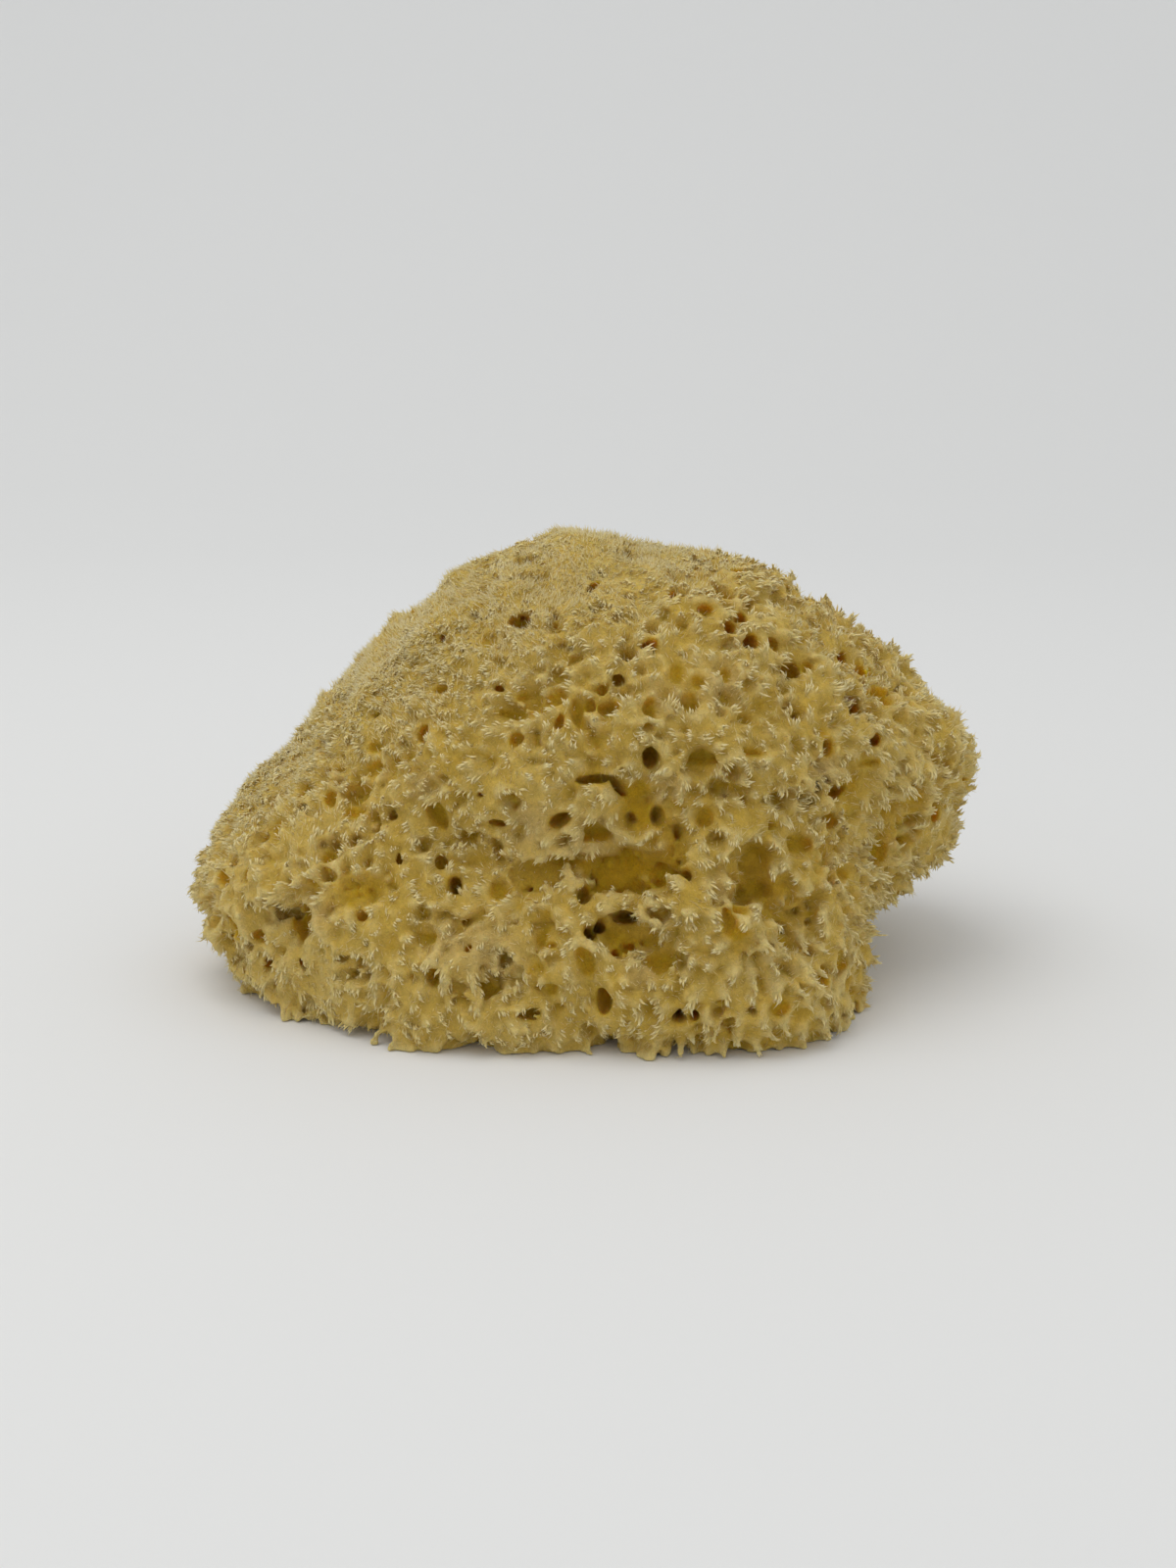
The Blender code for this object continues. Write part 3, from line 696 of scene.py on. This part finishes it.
SKIN_BAND = 2.0
skin_volume = openvdb.FloatGrid(SKIN_BAND)
skin_volume.transform = openvdb.createLinearTransform(voxelSize=GRID_STEP)
skin_volume.copyFromArray(
    np.clip(surface, -SKIN_BAND, SKIN_BAND), ijk=tuple(int(place) for place in grid_corner)
)
skin_volume.gridClass = "level set"
FLAT_ENOUGH = 0.15
skin_corners, skin_triangles, skin_quads = skin_volume.convertToPolygons(0.0, FLAT_ENOUGH)


def whole_piece(corner_count, edges):
    """Which corners belong to the largest piece that the edges join."""
    piece = np.arange(corner_count)
    while True:
        low = np.minimum(piece[edges[:, 0]], piece[edges[:, 1]])
        joined = piece.copy()
        np.minimum.at(joined, edges[:, 0], low)
        np.minimum.at(joined, edges[:, 1], low)
        joined = joined[joined]
        joined = joined[joined]
        if (joined == piece).all():
            break
        piece = joined
    return piece == np.bincount(piece).argmax()


def faces_mesh(name, corners, face_groups):
    """A mesh of triangles and quads from arrays of corner numbers."""
    mesh = bpy.data.meshes.new(name)
    loops = np.concatenate([faces.reshape(-1) for faces in face_groups])
    sizes = np.concatenate([np.full(len(faces), faces.shape[1]) for faces in face_groups])
    starts = np.concatenate([[0], np.cumsum(sizes)[:-1]])
    mesh.vertices.add(len(corners))
    mesh.vertices.foreach_set("co", np.ascontiguousarray(corners, np.float32).reshape(-1))
    mesh.loops.add(len(loops))
    mesh.loops.foreach_set("vertex_index", loops.astype(np.int32))
    mesh.polygons.add(len(sizes))
    mesh.polygons.foreach_set("loop_start", starts.astype(np.int32))
    mesh.polygons.foreach_set("use_smooth", np.ones(len(sizes), bool))
    mesh.update(calc_edges=True)
    return mesh


skin_edges = np.vstack([
    skin_quads[:, [0, 1]], skin_quads[:, [1, 2]], skin_quads[:, [2, 3]],
    skin_triangles[:, [0, 1]], skin_triangles[:, [1, 2]],
]).astype(int)
wanted = whole_piece(len(skin_corners), skin_edges)
new_number = np.cumsum(wanted) - 1
skin_quads = new_number[skin_quads[wanted[skin_quads[:, 0]]].astype(int)]
skin_triangles = new_number[skin_triangles[wanted[skin_triangles[:, 0]]].astype(int)]
whole = bpy.data.objects.new(
    "whole_skin", faces_mesh("whole_skin", skin_corners[wanted] * MM, [skin_triangles, skin_quads])
)
scene.collection.objects.link(whole)
SKIN_TRIANGLES = 380000
thinner = whole.modifiers.new("fewer_faces", "DECIMATE")
thinner.ratio = SKIN_TRIANGLES / (2 * len(skin_quads) + len(skin_triangles))
thinner.use_collapse_triangulate = True
thinned = bpy.data.meshes.new_from_object(whole.evaluated_get(bpy.context.evaluated_depsgraph_get()))
bpy.data.objects.remove(whole)
corners = np.empty((len(thinned.vertices), 3), np.float32)
thinned.vertices.foreach_get("co", corners.reshape(-1))
corners /= MM
corner_normals = np.empty((len(corners), 3), np.float32)
thinned.vertex_normals.foreach_get("vector", corner_normals.reshape(-1))
triangles = np.empty((len(thinned.polygons), 3), np.int32)
thinned.loops.foreach_get("vertex_index", triangles.reshape(-1))


def keep_on_mesh(mesh, name, values):
    """Stores one number for each corner."""
    attribute = mesh.attributes.new(name, "FLOAT", "POINT")
    attribute.data.foreach_set("value", np.ascontiguousarray(values, np.float32))


# What the skin's finish reads: how deep a place lies, for painted shade; how near a tuft or how
# raised, for pale fibre and painted highlight; and the grey stains, which are greyish mauve
# patches where the skin is rubbed: (right, up, radius) in the picture.
STAINS = [(0, -12, 7), (26, 19, 5), (-19, -32, 8), (-26, -30, 6), (15, 17, 4), (-31, 0, 4),
          (10, -36, 4), (45, 3, 4), (16, -1, 4), (-52, -24, 5), (-11, -8, 5), (26, -20, 4)]
STAIN_TURN, STAIN_SEED = 7.0, 21
STAIN_RATE, STAIN_START = 0.6, 0.9
BACK_FROM, BACK_FADE = -20, 10
stain = drift(corners, STAIN_TURN, STAIN_SEED)[:, 0]
stain = np.clip(stain * STAIN_RATE - STAIN_START, 0, 1)
stain *= np.clip((corners[:, 1] - BACK_FROM) / BACK_FADE, 0, 1)
for right, up, radius in STAINS:
    middle = front_place(right, up)
    stain = np.maximum(stain, np.exp(-(((corners - middle) / radius) ** 2).sum(1)))

# Hollows get painted shade, amber and then near black, the more the nearer a place is to their
# floor, but the painted shade fades out at the cut, which is pale because it was sliced and not
# grown. The crests get cream: pale bare fibre on the conules and painted highlight on raised relief.
DEEPEST = 6.0
BOWL_SHADE = (0.14, 0.08, 0.2)
PORE_SHADE = (0.42, 0.7, 0.5)
RELIEF_BAND, RELIEF_BLUR = 1.5, 1.7
DIP_FROM, DIP_RATE, DEEPEST_DIP = 0.08, 0.5, 0.3
CUT_FADE, CUT_SHADE = 0.6, 0.15
TALL_CONULE = 1.5
RISE_FROM, RISE_RANGE = 0.1, 0.8


def falling(values, start, rate, most):
    """What is left of a start as the values grow, at most so much."""
    return np.clip(start - values * rate, 0, most)


height = height_over_form(corners)
bowl_here = grid_value(bowl, corners)
canal_here = grid_value(canal, corners)
# The painted shade: below the smooth form, in the bowls and canals, and in dips of the relief.
painted_shade = np.clip((RIDGE_RISE - height) / DEEPEST, 0, 1)
painted_shade = np.maximum(painted_shade, falling(bowl_here, *BOWL_SHADE))
painted_shade = np.maximum(painted_shade, falling(canal_here, *PORE_SHADE))
relief = blurred(np.clip(surface, -RELIEF_BAND, RELIEF_BAND), RELIEF_BLUR)
relief = grid_value(relief, corners)
painted_shade = np.maximum(painted_shade, np.clip((-relief - DIP_FROM) * DIP_RATE, 0, DEEPEST_DIP))
painted_shade *= np.clip(corners[:, 2] / CUT_FADE, CUT_SHADE, 1)
# Cream on the crests: pale bare fibre on the conules, and painted highlight on raised relief; none
# at the pores.
crest_and_highlight = np.clip(grid_value(conule, corners), 0, TALL_CONULE) / TALL_CONULE
crest_and_highlight = np.maximum(crest_and_highlight, np.clip((relief - RISE_FROM) / RISE_RANGE, 0, 1))
crest_and_highlight *= np.clip(canal_here, 0, 1)


def set_inputs(node, values):
    """Sets several of a node's inputs by their names."""
    for name, value in values.items():
        node.inputs[name].default_value = value


def noise(tree, values):
    """Noise in the sponge's own space."""
    place = tree.nodes.new("ShaderNodeTexCoord")
    node = tree.nodes.new("ShaderNodeTexNoise")
    set_inputs(node, values)
    tree.links.new(place.outputs["Object"], node.inputs["Vector"])
    return node.outputs["Fac"]


def mixed(tree, share, first, second, blend="MIX"):
    """A colour made of two others. The share and the colours are sockets or plain values."""
    mix = tree.nodes.new("ShaderNodeMix")
    mix.data_type = "RGBA"
    mix.blend_type = blend
    colour_inputs = [entry for entry in mix.inputs if entry.type == "RGBA"]
    for entry, value in zip([mix.inputs["Factor"]] + colour_inputs, (share, first, second)):
        if isinstance(value, bpy.types.NodeSocket):
            tree.links.new(value, entry)
        else:
            entry.default_value = value
    return next(output for output in mix.outputs if output.type == "RGBA")


def ranged(tree, value, low, high, to_low=0.0, to_high=1.0):
    """A value taken from one range to another and held there."""
    node = tree.nodes.new("ShaderNodeMapRange")
    set_inputs(node, {"From Min": low, "From Max": high, "To Min": to_low, "To Max": to_high})
    tree.links.new(value, node.inputs["Value"])
    return node.outputs["Result"]


def stored(tree, name):
    """A number kept on the mesh."""
    node = tree.nodes.new("ShaderNodeAttribute")
    node.attribute_name = name
    return node.outputs["Fac"]


def layered(tree, colour, layers):
    """A colour with others laid over it, each as far as a number kept on the mesh is high."""
    for name, low, high, most, layer in layers:
        share = ranged(tree, stored(tree, name), low, high, 0.0, most)
        colour = mixed(tree, share, colour, layer)
    return colour


# The layers over the ground colour: the number each follows, from where to where, how much
# of it shows at most, and its colour.
STRAW = (0.62, 0.43, 0.098, 1)
GOLD = (0.58, 0.385, 0.062, 1)
# Painted amber shade in the pits, a brighter painted amber glow for light through the fibre, and
# painted near-black shade deep in the pores.
AMBER_SHADE = (0.55, 0.335, 0.016, 1)
AMBER_GLOW = (0.70, 0.40, 0.008, 1)
DEEP_SHADE = (0.10, 0.045, 0.004, 1)
# Cream: the pale bare fibre, and partly a painted highlight on raised places.
CREAM_AND_HIGHLIGHT = (0.73, 0.58, 0.23, 1)
MAUVE = (0.53, 0.39, 0.21, 1)
SKIN_LAYERS = [
    ("stain", 0.2, 1.0, 0.35, MAUVE),
    # The painted shade, glow and shadow in the hollows.
    ("painted_shade", 0.06, 0.36, 1.0, AMBER_SHADE),
    ("painted_shade", 0.4, 0.7, 1.0, AMBER_GLOW),
    ("painted_shade", 0.75, 1.0, 1.0, DEEP_SHADE),
    # Pale fibre and painted highlight on the crests.
    ("crest_and_highlight", 0.2, 0.8, 0.85, CREAM_AND_HIGHLIGHT),
]


def skin_finish():
    """Matte felt, straw yellow outside, with painted amber shade and glow in the pits and pores,
    painted dark shade deep in them, and cream crests that are partly painted highlight.
    """
    material = bpy.data.materials.new("sponge_skin")
    material.use_nodes = True
    tree = material.node_tree
    fine = noise(tree, {"Scale": 1900, "Detail": 3.0, "Roughness": 0.65, "Distortion": 1.2})
    blend = tree.nodes.new("ShaderNodeMix")
    blend.inputs["Factor"].default_value = 0.6
    tree.links.new(noise(tree, {"Scale": 420, "Detail": 2.0}), blend.inputs["A"])
    tree.links.new(fine, blend.inputs["B"])
    mottle = blend.outputs["Result"]
    ground = ranged(tree, noise(tree, {"Scale": 55, "Detail": 2}), 0.35, 0.65)
    colour = layered(tree, mixed(tree, ground, STRAW, GOLD), SKIN_LAYERS)
    tone = ranged(tree, mottle, 0.33, 0.67, 0.74, 1.18)
    bump = tree.nodes.new("ShaderNodeBump")
    set_inputs(bump, {"Strength": 0.8, "Distance": 0.0005})
    tree.links.new(fine, bump.inputs["Height"])
    surface = tree.nodes["Principled BSDF"]
    set_inputs(surface, {
        "Specular IOR Level": 0.15,
        "Subsurface Radius": (1.0, 0.6, 0.2),
        "Sheen Weight": 0.12,
        "Sheen Tint": (1.0, 0.93, 0.72, 1),
        "Sheen Roughness": 0.5,
    })
    for value, name in (
        (mixed(tree, 1.0, colour, tone, "MULTIPLY"), "Base Color"),
        (ranged(tree, mottle, 0.3, 0.7, 0.8, 0.96), "Roughness"),
        (bump.outputs["Normal"], "Normal"),
        (ranged(tree, stored(tree, "painted_shade"), 0.05, 0.35, 0.3, 0.9), "Subsurface Weight"),
        (ranged(tree, stored(tree, "painted_shade"), 0.1, 0.45, 0.002, 0.008), "Subsurface Scale"),
    ):
        tree.links.new(value, surface.inputs[name])
    return material


skin_material = skin_finish()


def add_piece(name, mesh, material):
    """One piece of the sponge, in its place."""
    mesh.materials.append(material)
    piece = bpy.data.objects.new(name, mesh)
    scene.collection.objects.link(piece)
    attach(piece, "root")
    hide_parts("sponge")


def add_skin(name, chosen):
    """One stretch of the skin, with the whole skin's shading at its edges."""
    used, numbers = np.unique(triangles[chosen], return_inverse=True)
    mesh = faces_mesh(name, corners[used] * MM, [numbers.reshape(-1, 3)])
    mesh.normals_split_custom_set_from_vertices(corner_normals[used])
    # The painted shade, the crests with their painted highlight, and the stains, for the finish.
    keep_on_mesh(mesh, "painted_shade", painted_shade[used])
    keep_on_mesh(mesh, "crest_and_highlight", crest_and_highlight[used])
    keep_on_mesh(mesh, "stain", stain[used])
    add_piece(name, mesh, skin_material)


middles_y = corners[triangles].mean(1)[:, 1]
halfway = np.median(middles_y)
add_skin("skin_front", middles_y < halfway)
add_skin("skin_back", middles_y >= halfway)

# The tufts are bundles of bare fibre ends that stand on the tips of the skin and fray apart.
# Each fibre is a thin three-sided spike with one bend. The spike's middle and its tip are
# told by how far along its length they are, and how far aside.
FIBRES_IN_A_TUFT = 8
FIBRE_LENGTH = (1.0, 1.7)
SHAGGY_GAIN, WOOLLY_LOSS, LEAST_BY_PORE = 0.15, 0.1, 0.25
FIBRE_RADIUS = (0.15, 0.24)
FIBRE_SPLAY, FIBRE_STRAY = 0.35, 0.15
FIBRE_BEND, BEND_STRAY = 1.0, 0.25
CURL_SHARE = 0.5
TUFT_ROW, FINGER_ROW_LOSS = 1.0, 0.6
TUFT_DEPTH = 0.35
FIBRE_SIDES = 3
SPIKE_MIDDLE, SPIKE_TIP = (0.65, 0.15), (0.9, 0.5)
MIDDLE_WIDTH, MIDDLE_TONE = 0.95, 0.55
HIGHEST_TOP, LOWEST_TOP, TOP_STEP = 5.0, 0.4, 0.15
LOWEST_TUFT = 1.2
ROOT_DEPTH, ROOT_TRIES = 0.2, 12
ROOT_COLOUR = (0.70, 0.53, 0.18, 1)
TIP_COLOUR = (0.89, 0.75, 0.39, 1)
FIBRE_LAYERS = [("along", 0.0, 0.7, 1.0, TIP_COLOUR), ("tone", 0.0, 1.0, 0.35, GOLD)]


def tuft_tops(places, axes):
    """Where each tuft's axis leaves the finished skin."""
    tops = places.copy()
    found = np.zeros(len(places), bool)
    for step in np.arange(HIGHEST_TOP, LOWEST_TOP, -TOP_STEP):
        here = places + axes * step
        inside = grid_value(surface, here) < 0
        fresh = inside & ~found
        tops[fresh] = here[fresh]
        found |= inside
    return tops, found


def fibre_mesh(name, roots, directions, lengths, radii, bends, tones):
    """Three-sided spikes with one bend each, as one mesh."""
    count = len(roots)
    side = np.cross(directions, random.normal(size=directions.shape))
    side /= np.linalg.norm(side, axis=1)[:, None]
    other = np.cross(directions, side)
    middles, tips = (
        roots + directions * (lengths * ahead)[:, None] + bends * (lengths * aside)[:, None]
        for ahead, aside in (SPIKE_MIDDLE, SPIKE_TIP)
    )
    rings = []
    for centre, width in ((roots, 1.0), (middles, MIDDLE_WIDTH)):
        for turn in np.arange(FIBRE_SIDES) * 2 * math.pi / FIBRE_SIDES:
            rim = side * math.cos(turn) + other * math.sin(turn)
            rings.append(centre + rim * (radii * width)[:, None])
    rings.append(tips)
    per_fibre = 2 * FIBRE_SIDES + 1
    points = np.stack(rings, 1).reshape(-1, 3)
    points[:, 2] = np.maximum(points[:, 2], LOWEST)
    first = (np.arange(count) * per_fibre)[:, None]
    quads = []
    ends = []
    for turn in range(FIBRE_SIDES):
        after = (turn + 1) % FIBRE_SIDES
        quads.append(first + [turn, after, after + FIBRE_SIDES, turn + FIBRE_SIDES])
        ends.append(first + [turn + FIBRE_SIDES, after + FIBRE_SIDES, 2 * FIBRE_SIDES])
    mesh = faces_mesh(name, points * MM, [np.vstack(ends), np.vstack(quads)])
    along = np.tile([0.0] * FIBRE_SIDES + [MIDDLE_TONE] * FIBRE_SIDES + [1.0], count)
    keep_on_mesh(mesh, "along", along)
    keep_on_mesh(mesh, "tone", np.repeat(tones, per_fibre))
    return mesh


def fibre_finish():
    """Bare fibre: straw at the root and pale cream at the tip, each a little different."""
    material = bpy.data.materials.new("sponge_tufts")
    material.use_nodes = True
    tree = material.node_tree
    surface = tree.nodes["Principled BSDF"]
    tree.links.new(layered(tree, ROOT_COLOUR, FIBRE_LAYERS), surface.inputs["Base Color"])
    set_inputs(surface, {
        "Roughness": 0.7,
        "Specular IOR Level": 0.3,
        "Subsurface Weight": 0.5,
        "Subsurface Radius": (1.0, 0.9, 0.8),
        "Subsurface Scale": 0.0004,
    })
    return material


tuft_tips, rooted = tuft_tops(tuft_places, tuft_axes)
rooted &= tuft_tips[:, 2] > LOWEST_TUFT
tuft_tips, tuft_lines = tuft_tips[rooted], tuft_axes[rooted]
fibre_count = len(tuft_tips) * FIBRES_IN_A_TUFT
curls = sidelong(tuft_lines) * CURL_SHARE + CURL_SHARE * drift(tuft_tips, LEAN_TURN, LEAN_SEED)
curls[:, 2] -= CURL_SHARE * droop[rooted]
curls -= tuft_lines * (curls * tuft_lines).sum(1)[:, None]
curls /= np.linalg.norm(curls, axis=1)[:, None]
rows = np.cross(tuft_lines, curls)
row_widths = TUFT_ROW * (1 - FINGER_ROW_LOSS * finger_share[rooted]) * tuft_sizes[rooted]
bases = np.repeat(tuft_tips, FIBRES_IN_A_TUFT, 0)
lines = np.repeat(tuft_lines, FIBRES_IN_A_TUFT, 0)
curls = np.repeat(curls, FIBRES_IN_A_TUFT, 0)
along_row = random.uniform(-1, 1, fibre_count)
across_row = random.uniform(-1, 1, fibre_count)
row_steps = np.repeat(rows * row_widths[:, None], FIBRES_IN_A_TUFT, 0) * along_row[:, None]
roots = bases + row_steps + curls * (across_row * TUFT_DEPTH)[:, None]
for _ in range(ROOT_TRIES):
    afloat = grid_value(surface, roots) > -ROOT_DEPTH
    roots[afloat] -= lines[afloat] * ROOT_DEPTH
directions = lines + row_steps * FIBRE_SPLAY + random.normal(scale=FIBRE_STRAY, size=lines.shape)
directions /= np.linalg.norm(directions, axis=1)[:, None]
lengths = tuft_sizes * (1 + SHAGGY_GAIN * shaggy_share) * (1 - WOOLLY_LOSS * woolly_share)
lengths = np.repeat(lengths[rooted], FIBRES_IN_A_TUFT)
lengths *= random.uniform(*FIBRE_LENGTH, fibre_count)
lengths *= np.clip(grid_value(canal, roots), LEAST_BY_PORE, 1)
radii = random.uniform(*FIBRE_RADIUS, fibre_count)
bends = curls * FIBRE_BEND + random.normal(scale=BEND_STRAY, size=lines.shape)
tones = random.uniform(0, 1, fibre_count)
fibre_material = fibre_finish()


def add_fibres(name, here):
    """One stretch of the tufts."""
    measures = (roots, directions, lengths, radii, bends, tones)
    add_piece(name, fibre_mesh(name, *(measure[here] for measure in measures)), fibre_material)


third = np.quantile(bases[:, 1], [1 / 3, 2 / 3])
add_fibres("tufts_front", bases[:, 1] < third[0])
add_fibres("tufts_middle", (bases[:, 1] >= third[0]) & (bases[:, 1] < third[1]))
add_fibres("tufts_back", bases[:, 1] >= third[1])

# The down is the short loose fibre that covers the skin between the tufts and softens its
# edge. It is thickest on the woolly part and the crests, and rooted a little under the skin.
DOWN_FIBRES = 64000
DOWN_LENGTH = (0.8, 1.8)
DOWN_RADIUS = 0.1
DOWN_DEPTH = 1.6
LOWEST_DOWN = 0.8
DOWN_THICKNESS, ON_WOOL, ON_CRESTS = 0.3, 1.6, 0.6
LEAST_BY_CANAL = 0.1
DOWN_SCATTER = 0.12
DOWN_TILT, DOWN_STRAY = 0.5, 0.35
DOWN_DRIFT, DOWN_TURN, DOWN_SEED = 0.25, 6.0, 13
DOWN_ROOT = 0.1
DOWN_TONE = 0.3
chosen = triangles[:, 0]
edges = corners[triangles[:, 1:]] - corners[triangles[:, :1]]
areas = np.linalg.norm(np.cross(edges[:, 0], edges[:, 1]), axis=1)
shallow = (height[chosen] > -DOWN_DEPTH) & (corners[chosen, 2] > LOWEST_DOWN)
thickness = DOWN_THICKNESS + ON_WOOL * woolly(corners[chosen]) + ON_CRESTS * crest_and_highlight[chosen]
thickness *= np.clip(canal_here[chosen], LEAST_BY_CANAL, 1)
chances = np.cumsum(areas * shallow * thickness)
under = np.searchsorted(chances, random.uniform(0, chances[-1], DOWN_FIBRES))
down_roots = corners[triangles[under]].mean(1)
down_roots = down_roots + random.normal(scale=DOWN_SCATTER, size=(DOWN_FIBRES, 3))
down_lines = outward(down_roots) + DOWN_TILT * corner_normals[triangles[under, 0]]
down_lines += DOWN_DRIFT * drift(down_roots, DOWN_TURN, DOWN_SEED)
down_lines += random.normal(scale=DOWN_STRAY, size=down_lines.shape)
down_lines /= np.linalg.norm(down_lines, axis=1)[:, None]
down_lengths = random.uniform(*DOWN_LENGTH, DOWN_FIBRES)
down_side = sidelong(down_lines)
down_other = np.cross(down_lines, down_side) * DOWN_RADIUS
down_side = down_side * DOWN_RADIUS
buried = down_roots - down_lines * DOWN_ROOT
down_tips = down_roots + down_lines * down_lengths[:, None]
behind = buried - down_side * 0.5
down_points = np.stack([buried + down_side, behind + down_other, behind - down_other, down_tips], 1)
down_points = down_points.reshape(-1, 3)
down_points[:, 2] = np.maximum(down_points[:, 2], LOWEST)
first = (np.arange(DOWN_FIBRES) * 4)[:, None]
down_sides = np.vstack([first + [0, 1, 3], first + [1, 2, 3], first + [2, 0, 3]])
down_mesh = faces_mesh("down", down_points * MM, [down_sides])
keep_on_mesh(down_mesh, "along", np.tile([0.0, 0.0, 0.0, DOWN_TONE], DOWN_FIBRES))
keep_on_mesh(down_mesh, "tone", np.repeat(random.uniform(0, 1, DOWN_FIBRES), 4))
add_piece("down", down_mesh, fibre_material)

# The floor is a sheet of pale matte board that curves up behind the sponge.
FLOOR_COLOUR = (0.80, 0.80, 0.79, 1)
SHEET_WIDTH = 4.0
SHEET_FRONT, SHEET_BEND, SHEET_CURVE, SHEET_TOP = -1.6, 0.5, 0.9, 3.0
CURVE_STEPS = 12
profile = [(SHEET_FRONT, 0.0), (SHEET_BEND, 0.0)]
for step in range(1, CURVE_STEPS + 1):
    turn = math.radians(90) * step / CURVE_STEPS
    back = SHEET_BEND + SHEET_CURVE * math.sin(turn)
    profile.append((back, SHEET_CURVE - SHEET_CURVE * math.cos(turn)))
profile.append((SHEET_BEND + SHEET_CURVE, SHEET_TOP))
sheet_corners = [(x, y, z) for y, z in profile for x in (-SHEET_WIDTH / 2, SHEET_WIDTH / 2)]
sheet_faces = [(2 * i, 2 * i + 1, 2 * i + 3, 2 * i + 2) for i in range(len(profile) - 1)]
sheet_mesh = bpy.data.meshes.new("backdrop")
sheet_mesh.from_pydata(sheet_corners, [], sheet_faces)
sheet_mesh.shade_smooth()
backdrop = bpy.data.objects.new("backdrop", sheet_mesh)
scene.collection.objects.link(backdrop)
board = bpy.data.materials.new("pale_board")
board.use_nodes = True
set_inputs(board.node_tree.nodes["Principled BSDF"], {"Base Color": FLOOR_COLOUR, "Roughness": 0.85})
sheet_mesh.materials.append(board)

# The light is a wide soft one from above and a little to the left, with pale light all round.
LAMP_PLACE = Vector((-0.3, -0.1, 1.0))
LAMP_AIM = Vector((0, 0, 0.04))
ROOM_COLOUR = (0.97, 0.985, 1.0, 1)
world = bpy.data.worlds.new("pale_room")
scene.world = world
world.use_nodes = True
set_inputs(world.node_tree.nodes["Background"], {"Color": ROOM_COLOUR, "Strength": 0.74})
lamp = bpy.data.lights.new("window", "AREA")
lamp.shape = "SQUARE"
lamp.size = 0.8
lamp.energy = 3.2
lamp.color = (1.0, 0.985, 0.96)
light = bpy.data.objects.new("window", lamp)
scene.collection.objects.link(light)
light.location = LAMP_PLACE
light.rotation_euler = (LAMP_AIM - LAMP_PLACE).to_track_quat("-Z", "Y").to_euler()
scene.view_settings.view_transform = "Standard"
